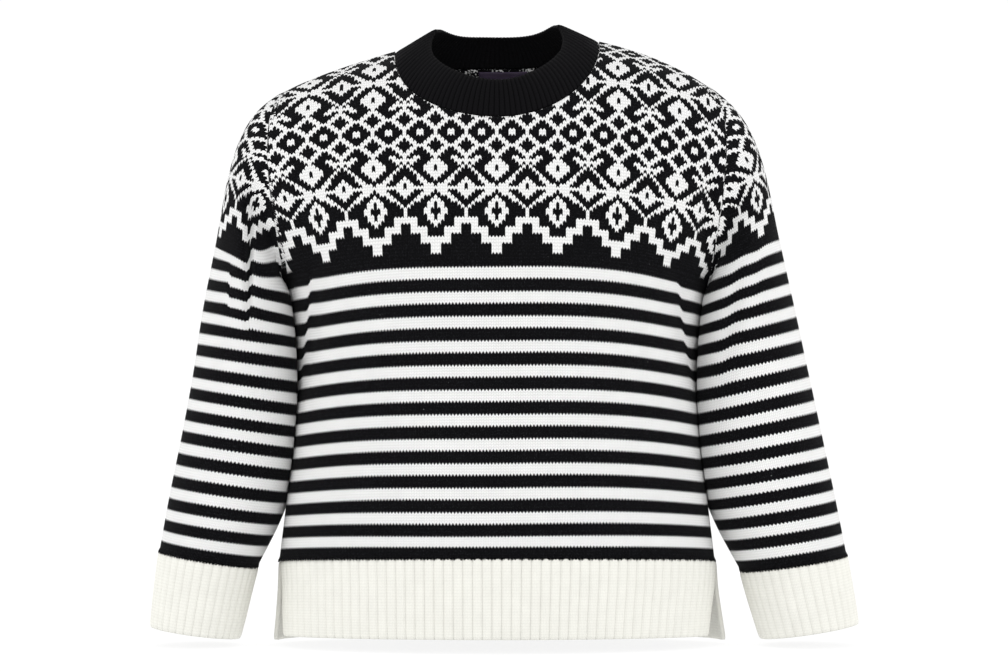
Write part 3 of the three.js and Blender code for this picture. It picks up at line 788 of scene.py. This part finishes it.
def closed_wall(outer, inner, around):
    """Points and quads of a wall between two equal grids, then the column and row of the outer quads."""
    columns, rows = outer.shape[:2]
    quads, i, j = grid_faces(columns, rows, around, False)
    inner_quads, _, _ = grid_faces(columns, rows, around, True)
    index = np.arange(2 * columns * rows).reshape(2, columns, rows)
    rims = np.array(rim_faces(*index, range(columns), range(rows), around))
    points = np.concatenate([outer.reshape(-1, 3), inner.reshape(-1, 3)])
    return points, np.concatenate([quads, inner_quads + columns * rows, rims[:, ::-1]]), i, j


# The stitches beside the lower armhole that are black, a painted shade where the body's edge turns away
# into the armpit: how many across, and for how many rows up
EDGE_STITCHES = 5
EDGE_ROWS = 13
# The inner face has one quad for so many half wales and rows
INNER_WALES = 4
INNER_ROWS = 2
# How white the reverse of the yoke is, at least and more with the stitches' own white, and the rims
REVERSE_WHITE = (0.18, 0.4)
RIM_WHITE = 0.4
# The uv of a crest, so that the inner faces stay smooth
CREST_UV = (0.25, 0.5)


def knit_shell(name, outer, inner, wales, rows, around, colour, material):
    """A thin wall of knitting: a fine outer face, a coarser inner face and the rims between them."""
    columns, count = outer.shape[:2]
    quads, i, j = grid_faces(columns, count, around, True)
    whole = np.floor(wales[i] + 0.75).astype(int)
    white = colour(whole, np.minimum(rows[j], rows[j + 1]))
    left = wales[i] + 0.5
    right = left + 0.5
    uv = quad_uv(left, right, rows[j + 1], rows[j])
    column_places = spaced(columns, INNER_WALES, around)
    row_places = spaced(count, INNER_ROWS, False)
    coarse = inner[np.ix_(column_places, row_places)]
    inner_quads, ci, cj = grid_faces(len(column_places), len(row_places), around, False)
    offset = columns * count
    first = np.floor(wales[np.array(column_places)[ci]] + 0.75).astype(int)
    low = np.minimum(rows[np.array(row_places)[cj]], rows[np.array(row_places)[cj + 1]])
    mixed = sum(colour(first + a, low + b) for a in (0, 1) for b in (0, 1)) / 4
    mixed = np.where(low >= 0, REVERSE_WHITE[0] + REVERSE_WHITE[1] * mixed, mixed)
    inner_uv = np.broadcast_to(np.array(CREST_UV), (len(inner_quads), 4, 2))
    fine_index = np.arange(offset).reshape(columns, count)
    coarse_index = offset + np.arange(len(column_places) * len(row_places)).reshape(len(column_places), -1)
    rims = rim_faces(fine_index, coarse_index, column_places, row_places, around)
    rim_uv = np.zeros((sum(len(face) for face in rims), 2))
    faces = quads.tolist() + (inner_quads + offset).tolist() + rims
    white = np.concatenate([white, mixed, np.full(len(rims), RIM_WHITE)])
    uv = np.concatenate([uv.reshape(-1, 2), inner_uv.reshape(-1, 2), rim_uv])
    points = np.concatenate([outer.reshape(-1, 3), coarse.reshape(-1, 3)])
    return build_object(name, points, faces, white, uv, material)


def body_colour(whole, row):
    """1 for white: rows below 0 are stripes, black at the hem and white at the top."""
    stripe = np.floor_divide(row, STRIPE_ROWS)
    striped = (stripe % 2 != 0).astype(float)
    yoke = yoke_is_white(whole, np.maximum(row, 0))
    return np.where(row < 0, striped, yoke)


def panel_colour(edge_wales):
    """Body colours, with the last stitches beside the lower armhole black, as painted shade in the armpit.
    """

    def colour(whole, row):
        place = np.clip(row + BODY_ROWS, 0, len(edge_wales) - 1)
        at_edge = np.abs(whole) > edge_wales[place] - EDGE_STITCHES
        # Painted shade: black stitches where the panel's edge turns into the armpit
        dark = at_edge & (row >= 0) & (row < EDGE_ROWS)
        return np.where(dark, 0, body_colour(whole, row))

    return colour


def sleeve_colour(side):
    def colour(whole, row):
        return body_colour((whole + SLEEVE_TURN[side]) % (2 * REPEAT_HALF), row)

    return colour


RIB_STEPS = 8
# How far the edges of a band are rounded back, over how many rows of its mesh, and how far its grooves
# show on the inner side
EDGE_ROUNDING = 0.8
ROUNDED_ROWS = 1.5
GROOVE_INSIDE = 0.35


def rib_shell(name, surface, around, look):
    """A ribbed band: surface(part around, part along, inset) gives points; ribs rise on its outer side."""
    ribs = look["ribs"]
    rows = look["mesh_rows"]
    height = look["rib_height"]
    columns = ribs * RIB_STEPS + (0 if around else 1)
    along = np.linspace(0, 1, rows + 1)
    part = np.arange(columns) / (ribs * RIB_STEPS)
    raised = height * np.sqrt(np.abs(np.cos(np.pi * part * ribs)))
    wide, deep_along = np.broadcast_arrays(part[:, None], along[None, :])
    base = surface(wide, deep_along, 0.0)
    deep = surface(wide, deep_along, look["wall"])
    out = unit(base - deep)
    round_off = np.clip(np.minimum(along, 1 - along) * rows / ROUNDED_ROWS, 0, 1) ** 0.5
    outer = base + out * raised[:, None, None] - out * (1 - round_off)[None, :, None] * EDGE_ROUNDING
    inner = deep + out * (height - raised)[:, None, None] * GROOVE_INSIDE
    points, quads, i, j = closed_wall(outer, inner, around)
    left = i / RIB_STEPS * look["rib_stitches"]
    right = (i + 1) / RIB_STEPS * look["rib_stitches"]
    uv = quad_uv(left, right, along[j] * look["knit_rows"], along[j + 1] * look["knit_rows"])
    uv = np.concatenate([uv, uv[:, ::-1], np.zeros((len(quads) - 2 * len(uv), 4, 2))])
    return build_object(name, points, quads.tolist(), np.ones(len(quads)), uv, look["material"])


# How the lower corners of the hems are rounded: from where on, and by how much
CORNER = {"start": 0.955, "rise": {"front": 6.0, "back": 1.0}, "sharpness": 6}


def even_across(half_width, depth):
    """Across at even steps along a half ellipse, as a function of the part of its length."""
    samples = np.linspace(-1, 1, ACROSS_SAMPLES)
    angle = samples * np.pi / 2
    length = run_lengths(np.stack([half_width * np.sin(angle), depth * np.cos(angle)], -1), 0)
    return lambda part: np.interp(part, length / length[-1], samples)


def hem_surface(side):
    rows = HEM_LEVELS[side]
    sign = -1 if side == "front" else 1
    spread = even_across(rows[0, HEM_COLUMNS.index("right_x")], rows[0, HEM_COLUMNS.index("y")])

    def surface(part, along, inset):
        across = spread(part)
        level = along * (len(rows) - 1)
        middle_y, middle_z, left_x, right_x, edge_y, edge_z = (
            smooth_value(rows, HEM_COLUMNS, name, level) for name in HEM_COLUMNS
        )
        angle = across * np.pi / 2
        x = (np.where(across < 0, left_x, right_x) - inset) * np.sin(angle)
        y = lerp(sign * (middle_y - inset), SEAM_Y + sign * (edge_y + SEAM_GAP / 2), 1 - np.cos(angle))
        z = lerp(middle_z, edge_z, across**2)
        corner = ramp(np.abs(across), CORNER["start"], 1)
        z = z + CORNER["rise"][side] * corner**2 * along ** CORNER["sharpness"]
        return np.stack([x, y, z - SEAM_GAP], -1)

    return surface


def cuff_surface(side):
    rings = CUFF_RINGS[side]
    mirror = -1 if side == "left" else 1

    def surface(part, along, inset):
        place = along * (len(rings) - 1)
        points = ring_point(rings, place, part * 360, inset + 0 * place)
        return points * np.array([mirror, 1, 1]) - np.array([0, 0, CUFF_GAP])

    return surface


def panel_at(side, x, z):
    """Across and level of a panel where it is seen at x and z from the front."""
    low = np.full(x.shape, float(UNDERARM_LEVEL))
    high = np.full(x.shape, float(SHOULDER_LEVEL))
    for _ in range(PANEL_HALVINGS):
        level = (low + high) / 2
        turn = np.radians(body_value("turn", level))
        reach = np.clip(np.sin(turn) * x / body_value("edge_x", level), -1, 1)
        across = np.arcsin(reach) / turn
        below = panel_point(side, across, level)[..., 2] < z
        low = np.where(below, level, low)
        high = np.where(below, high, level)
    return across, (low + high) / 2


COLLAR = {"bulge": 6.0, "side_bulge": 0.5, "foot": 1.0, "wave": 0.75, "turn_rate": 1.6, "flatness": 0.7}


def collar_surface(part, along, inset):
    angle = part * 2 * np.pi
    cosine = np.cos(angle)
    in_front = cosine >= 0
    x = NECK["half_width"] * np.sin(angle)
    depth = np.where(in_front, NECK["front_depth"], NECK["back_depth"])
    z = NECK["top_z"] - depth * np.abs(cosine)
    found = []
    for side in ("front", "back"):
        place = panel_at(side, x, z)
        found.append((panel_point(side, *place), panel_normal(side, *place)))
    base, normal = (np.where(in_front[..., None], *pair) for pair in zip(*found))
    rim_depth = np.where(in_front, RIM["front_depth"], RIM["back_depth"])
    rim_y = np.where(in_front, -RIM["front_y"], RIM["back_y"])
    steep = np.abs(cosine)
    swell = RIM["fullness"] * np.maximum(np.sin(np.pi * steep), 0) ** COLLAR["flatness"]
    fuller = 1 + swell * in_front
    dip = np.where(in_front, steep, eased(steep, RIM["dip_start"], RIM["dip_end"]))
    rim = np.stack(
        [
            RIM["half_width"] * np.sin(angle) * fuller,
            SEAM_Y + (rim_y - SEAM_Y) * steep,
            RIM["top_z"] - rim_depth * dip,
        ],
        -1,
    )
    run = unit(rim - base)
    around_run = np.stack([np.cos(angle), np.sin(angle), 0 * angle], -1)
    band_normal = unit(np.cross(around_run, run))
    facing = (band_normal * normal).sum(-1, keepdims=True)
    band_normal = np.where(facing < 0, -band_normal, band_normal)
    base = base + run * COLLAR["foot"]
    point = lerp(base, rim, along[..., None])
    most = lerp(COLLAR["side_bulge"], COLLAR["bulge"], steep)
    bulge = most * np.sin(np.pi * along * COLLAR["wave"])
    point = point + band_normal * bulge[..., None]
    turned = np.minimum(1, along * COLLAR["turn_rate"])[..., None]
    thick_way = unit(lerp(normal, band_normal, turned))
    return point - thick_way * inset


LABEL = {
    "width": 50.0,
    "height": 22.0,
    "thickness": 0.8,
    "offset_x": 6.0,
    "gap": 1.6,
    "below_seam": 1.2,
    "columns": 26,
    "rows": 12,
}


def label_object(material):
    x = LABEL["offset_x"] + LABEL["width"] * (np.linspace(0, 1, LABEL["columns"] + 1)[:, None] - 0.5)
    seam_z = NECK["top_z"] - NECK["back_depth"] * np.sqrt(1 - (x / NECK["half_width"]) ** 2)
    z = seam_z - LABEL["below_seam"] - LABEL["height"] * np.linspace(0, 1, LABEL["rows"] + 1)
    across, level = panel_at("back", *np.broadcast_arrays(x, z))
    point = panel_point("back", across, level)
    normal = panel_normal("back", across, level)
    outer = point - normal * (WALL + LABEL["gap"])
    points, quads, _, _ = closed_wall(outer, outer - normal * LABEL["thickness"], False)
    uv = np.zeros((len(quads), 4, 2))
    return build_object("neck_label_weave", points, quads.tolist(), np.zeros(len(quads)), uv, material)


# Materials
BLACK_YARN = (0.0028, 0.0028, 0.0034, 1)
# A lighter black mixed in on the stitch crests: partly lint, partly a painted highlight on the stitches'
# relief
BLACK_LINT_AND_HIGHLIGHT = (0.016, 0.0165, 0.019, 1)
# The collar's black is lighter than BLACK_YARN to lift the shade inside the collar: painted light
COLLAR_BLACK_PAINTED_LIGHT = (0.005, 0.0048, 0.0056, 1)
WHITE_YARN = (0.88, 0.88, 0.874, 1)
CREAM_YARN = (0.81, 0.805, 0.748, 1)
LABEL_DARK = (0.055, 0.034, 0.078, 1)
LABEL_LIGHT = (0.085, 0.054, 0.118, 1)


def node(tree, kind, **values):
    made = tree.nodes.new(kind)
    for key, value in values.items():
        setattr(made, key, value)
    return made


def set_inputs(shader, values):
    for key, value in values.items():
        shader.inputs[key].default_value = value


def math_of(tree):
    """A function that adds a math node and gives its result: an input is a number or another result."""

    def result(operation, *inputs):
        made = node(tree, "ShaderNodeMath", operation=operation)
        for index, value in enumerate(inputs):
            if isinstance(value, bpy.types.NodeSocket):
                tree.links.new(value, made.inputs[index])
            else:
                made.inputs[index].default_value = value
        return made.outputs[0]

    return result


def noise(tree, place, look):
    made = node(tree, "ShaderNodeTexNoise")
    set_inputs(made, look)
    tree.links.new(place.outputs["Object"], made.inputs["Vector"])
    return made.outputs["Fac"]


def colour_mix(tree, dark, light, part):
    made = node(tree, "ShaderNodeMix", data_type="RGBA")
    set_inputs(made, {"A": dark, "B": light})
    tree.links.new(part, made.inputs["Factor"])
    return made


def clamped(tree, value):
    held = node(tree, "ShaderNodeClamp")
    tree.links.new(value, held.inputs["Value"])
    return held.outputs[0]


def bump(tree, height, distance, strength, normal=None):
    made = node(tree, "ShaderNodeBump")
    set_inputs(made, {"Distance": distance, "Strength": strength})
    tree.links.new(height, made.inputs["Height"])
    if normal:
        tree.links.new(normal, made.inputs["Normal"])
    return made.outputs[0]


def stitch_counts(tree):
    """The stitch and the row that each point lies on."""
    uv = node(tree, "ShaderNodeUVMap", uv_map="stitch")
    split = node(tree, "ShaderNodeSeparateXYZ")
    tree.links.new(uv.outputs[0], split.inputs[0])
    return split.outputs[0], split.outputs[1]


def stitch_height(tree):
    """The height of plain knitting from the stitch counts: two slanting legs to a stitch."""
    work = math_of(tree)
    stitch, row = stitch_counts(tree)
    from_middle = work("ABSOLUTE", work("SUBTRACT", work("FRACT", stitch), 0.5))
    leg = work("SUBTRACT", from_middle, 0.25)
    leg_round = work("SUBTRACT", 1.0, work("MULTIPLY", work("MULTIPLY", leg, leg), LEG["roundness"]))
    slanted = work("SUBTRACT", row, work("MULTIPLY", from_middle, LEG["slant"]))
    along = work("SINE", work("MULTIPLY", work("FRACT", slanted), math.pi))
    soft_along = work("POWER", work("MAXIMUM", along, 0.0), LEG["fullness"])
    return work("MULTIPLY", leg_round, soft_along)


def groove_shade(tree, rib_stitches, darkening):
    """Painted shade in the grooves between the ribs: 1 on the ribs, less in the grooves. rib_stitches says
    how wide a rib is.
    """
    work = math_of(tree)
    place = work("FRACT", work("DIVIDE", stitch_counts(tree)[0], rib_stitches))
    aside = work("ABSOLUTE", work("SUBTRACT", place, 0.5))
    rise = work("SUBTRACT", 1.0, work("MULTIPLY", aside, GROOVE_NARROWNESS))
    return work("SUBTRACT", 1.0, work("MULTIPLY", work("MAXIMUM", rise, 0.0), darkening))


def new_material(name):
    material = bpy.data.materials.new(name)
    material.use_nodes = True
    return material, material.node_tree, material.node_tree.nodes["Principled BSDF"]


LEG = {"roundness": 14.0, "slant": 0.5, "fullness": 0.6}
GROOVE_NARROWNESS = 6.0
FIBRE = {"Scale": 900, "Detail": 3}
CLOUDS = {"Scale": 60, "Detail": 2}
FLECKS = {"Scale": 480, "Detail": 0}
# How sharply one yarn's colour ends beside the other's
YARN_EDGE = 6.0
# Lint, with a painted highlight on the stitch crests, shows where the fibre noise is over this, and how
# fast it comes in
LINT_HIGHLIGHT_START = 0.47
LINT_HIGHLIGHT_RISE = 5.0
# Painted shade of a stitch, darker where its surface is low between the legs and rows: how light it is at
# most, and the part of its shade range that lies below that
STITCH_LIGHT = 0.94
STITCH_MIDDLE = 0.7
# Shade by the noises: the range and the least
FIBRE_SHADE = (0.16, 0.92)
CLOUD_SHADE = (0.10, 0.95)
FUZZ_DEPTH = 0.0003
STITCH_BUMP = 0.8
FUZZ_BUMP = 0.6


def yarn_material(name, look):
    material, tree, shader = new_material(name)
    work = math_of(tree)
    set_inputs(shader, {"Roughness": 0.95, "Sheen Weight": look["sheen"], "Sheen Roughness": 0.5})
    set_inputs(shader, {"Specular IOR Level": 0.05})
    place = node(tree, "ShaderNodeTexCoord")
    fibre = noise(tree, place, FIBRE)
    cloudy = noise(tree, place, CLOUDS)
    flecks = noise(tree, place, FLECKS)
    yarn = node(tree, "ShaderNodeAttribute", attribute_name="yarn")
    over = work("SUBTRACT", yarn.outputs["Fac"], flecks)
    chosen = clamped(tree, work("MULTIPLY_ADD", over, YARN_EDGE, 0.5))
    mix = colour_mix(tree, look["dark"], look["light"], chosen)
    height = stitch_height(tree)
    # Lighter fibres in the black, strongest on the stitch crests: lint with a painted highlight
    if "lint_and_highlight" in look:
        over_mean = work("SUBTRACT", fibre, LINT_HIGHLIGHT_START)
        lint_highlight_part = work("MULTIPLY", work("MULTIPLY", over_mean, LINT_HIGHLIGHT_RISE), height)
        lint_highlight_mix = colour_mix(tree, look["dark"], look["lint_and_highlight"], clamped(tree, lint_highlight_part))
        tree.links.new(lint_highlight_mix.outputs["Result"], mix.inputs["A"])
    # Painted shade: darker where the stitch height is low
    least = STITCH_LIGHT - STITCH_MIDDLE * look["stitch_shade"]
    depth_shade = work("MULTIPLY_ADD", height, look["stitch_shade"], least)
    fibre_shade = work("MULTIPLY_ADD", fibre, *FIBRE_SHADE)
    cloud_shade = work("MULTIPLY_ADD", cloudy, *CLOUD_SHADE)
    shade = work("MULTIPLY", work("MULTIPLY", depth_shade, fibre_shade), cloud_shade)
    # Painted shade in the rib grooves
    if "rib_stitches" in look:
        shade = work("MULTIPLY", shade, groove_shade(tree, look["rib_stitches"], look["groove_painted_shade"]))
    tinted = node(tree, "ShaderNodeVectorMath", operation="SCALE")
    tree.links.new(mix.outputs["Result"], tinted.inputs[0])
    tree.links.new(shade, tinted.inputs["Scale"])
    tree.links.new(tinted.outputs[0], shader.inputs["Base Color"])
    stitches = bump(tree, height, look["stitch_depth"], STITCH_BUMP)
    tree.links.new(bump(tree, fibre, FUZZ_DEPTH, FUZZ_BUMP, stitches), shader.inputs["Normal"])
    return material


LABEL_WEAVE = {"scale": 900, "depth": 0.0001}


def label_material():
    material, tree, shader = new_material("label_satin")
    set_inputs(shader, {"Roughness": 0.45})
    weave = node(tree, "ShaderNodeTexWave", wave_type="BANDS", bands_direction="Z")
    set_inputs(weave, {"Scale": LABEL_WEAVE["scale"]})
    place = node(tree, "ShaderNodeTexCoord")
    tree.links.new(place.outputs["Object"], weave.inputs["Vector"])
    mix = colour_mix(tree, LABEL_DARK, LABEL_LIGHT, weave.outputs["Fac"])
    tree.links.new(mix.outputs["Result"], shader.inputs["Base Color"])
    tree.links.new(bump(tree, weave.outputs["Fac"], LABEL_WEAVE["depth"], 1.0), shader.inputs["Normal"])
    return material


PATTERN_LOOK = {
    "dark": BLACK_YARN,
    "light": WHITE_YARN,
    "lint_and_highlight": BLACK_LINT_AND_HIGHLIGHT,
    "sheen": 0.015,
    "stitch_depth": 0.0006,
    "stitch_shade": 0.32,
}
CREAM_LOOK = {
    "dark": CREAM_YARN,
    "light": CREAM_YARN,
    "sheen": 0.03,
    "stitch_depth": 0.0001,
    "stitch_shade": 0.10,
    "rib_stitches": 3.0,
    "groove_painted_shade": 0.012,
}
BLACK_LOOK = {
    "dark": COLLAR_BLACK_PAINTED_LIGHT,
    "light": COLLAR_BLACK_PAINTED_LIGHT,
    "sheen": 0.01,
    "stitch_depth": 0.0002,
    "stitch_shade": 0.20,
    "rib_stitches": 2.0,
    "groove_painted_shade": 0.5,
}
pattern_knit = yarn_material("pattern_yarn", PATTERN_LOOK)
cream_knit = yarn_material("cream_yarn", CREAM_LOOK)
black_knit = yarn_material("black_yarn", BLACK_LOOK)
label_weave = label_material()


def declare(piece, cad_node):
    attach(piece, "root")
    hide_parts(cad_node)


def make_panel(side):
    points, inner, wales, rows, edge_wales = panel_grid(side)
    colour = panel_colour(edge_wales)
    obj = knit_shell(side + "_knit", points, inner, wales, rows, False, colour, pattern_knit)
    declare(obj, side)


def make_sleeve(side):
    outer, inner, turns, rows = sleeve_grid(side)
    wales = np.arange(2 * SLEEVE_WALES) / 2
    wales = np.where(wales > SLEEVE_WALES / 2 - 0.25, wales - SLEEVE_WALES, wales)
    colour = sleeve_colour(side)
    obj = knit_shell(f"sleeve_{side}_knit", outer, inner, wales, rows, True, colour, pattern_knit)
    declare(obj, "sleeve_" + side)


RIB_COLUMNS = ("ribs", "rib_height", "mesh_rows", "knit_rows", "rib_stitches", "wall", "material")
RIBS = {
    "hem": (54, 1.8, 24, 27, 3.0, WALL, cream_knit),
    "cuff": (34, 1.5, 22, 24, 3.0, WALL, cream_knit),
    "collar": (116, 1.5, 14, 14, 2.0, 3.2, black_knit),
}
RIB_LOOKS = {name: dict(zip(RIB_COLUMNS, row)) for name, row in RIBS.items()}

for side in ("front", "back"):
    make_panel(side)
    hem = rib_shell(f"hem_{side}_rib", hem_surface(side), False, RIB_LOOKS["hem"])
    declare(hem, "hem_" + side)
for side in ("left", "right"):
    make_sleeve(side)
    cuff = rib_shell(f"cuff_{side}_rib", cuff_surface(side), True, RIB_LOOKS["cuff"])
    declare(cuff, "cuff_" + side)
collar = rib_shell("collar_rib", collar_surface, True, RIB_LOOKS["collar"])
declare(collar, "collar")
declare(label_object(label_weave), "neck_label")


# Stage, lights and camera
CAMERA_DISTANCE = 3.5
CAMERA_HEIGHT = -0.284
CAMERA_X = 0.007
SENSOR_WIDTH = 36
# A pixel of the photo's width shows one millimetre of the garment
PHOTO_WIDTH = 1008
FLOOR_Z = -0.5935
FLOOR_LOOKS = {
    "Base Color": (0.18, 0.18, 0.18, 1),
    "Emission Color": (1, 1, 1, 1),
    "Emission Strength": 0.87,
    "Roughness": 1.0,
    "Specular IOR Level": 0.0,
}
SOFTBOX = {"x": 3.05, "y": -1.72, "z": 0.2, "target": (0, 0, -0.3), "size": 2.0, "power": 33}


def make_floor():
    floor_mesh = bpy.data.meshes.new("floor")
    shape = bmesh.new()
    bmesh.ops.create_circle(shape, cap_ends=True, radius=6, segments=96)
    shape.to_mesh(floor_mesh)
    shape.free()
    floor = bpy.data.objects.new("floor", floor_mesh)
    floor.location = (0, 0, FLOOR_Z)
    bpy.context.scene.collection.objects.link(floor)
    material, _, shader = new_material("pale_floor")
    set_inputs(shader, FLOOR_LOOKS)
    floor_mesh.materials.append(material)


def softbox(name, x_sign):
    light = bpy.data.lights.new(name, "AREA")
    light.size = SOFTBOX["size"]
    light.energy = SOFTBOX["power"]
    obj = bpy.data.objects.new(name, light)
    obj.location = (x_sign * SOFTBOX["x"], SOFTBOX["y"], SOFTBOX["z"])
    aim = Vector(SOFTBOX["target"]) - Vector(obj.location)
    obj.rotation_euler = aim.to_track_quat("-Z", "Y").to_euler()
    bpy.context.scene.collection.objects.link(obj)


make_floor()
world = bpy.data.worlds.new("studio")
world.use_nodes = True
set_inputs(world.node_tree.nodes["Background"], {"Color": (1, 1, 1, 1), "Strength": 1.03})
bpy.context.scene.world = world
softbox("left_softbox", -1)
softbox("right_softbox", 1)
bpy.context.scene.view_settings.view_transform = "Standard"

camera_data = bpy.data.cameras.new("camera")
camera_data.sensor_width = SENSOR_WIDTH
camera_data.lens = SENSOR_WIDTH * CAMERA_DISTANCE / (PHOTO_WIDTH * MM)
camera_data.clip_end = 50
camera = bpy.data.objects.new("camera", camera_data)
camera.location = (CAMERA_X, -CAMERA_DISTANCE, CAMERA_HEIGHT)
camera.rotation_euler = (math.pi / 2, 0, 0)
bpy.context.scene.collection.objects.link(camera)
bpy.context.scene.camera = camera
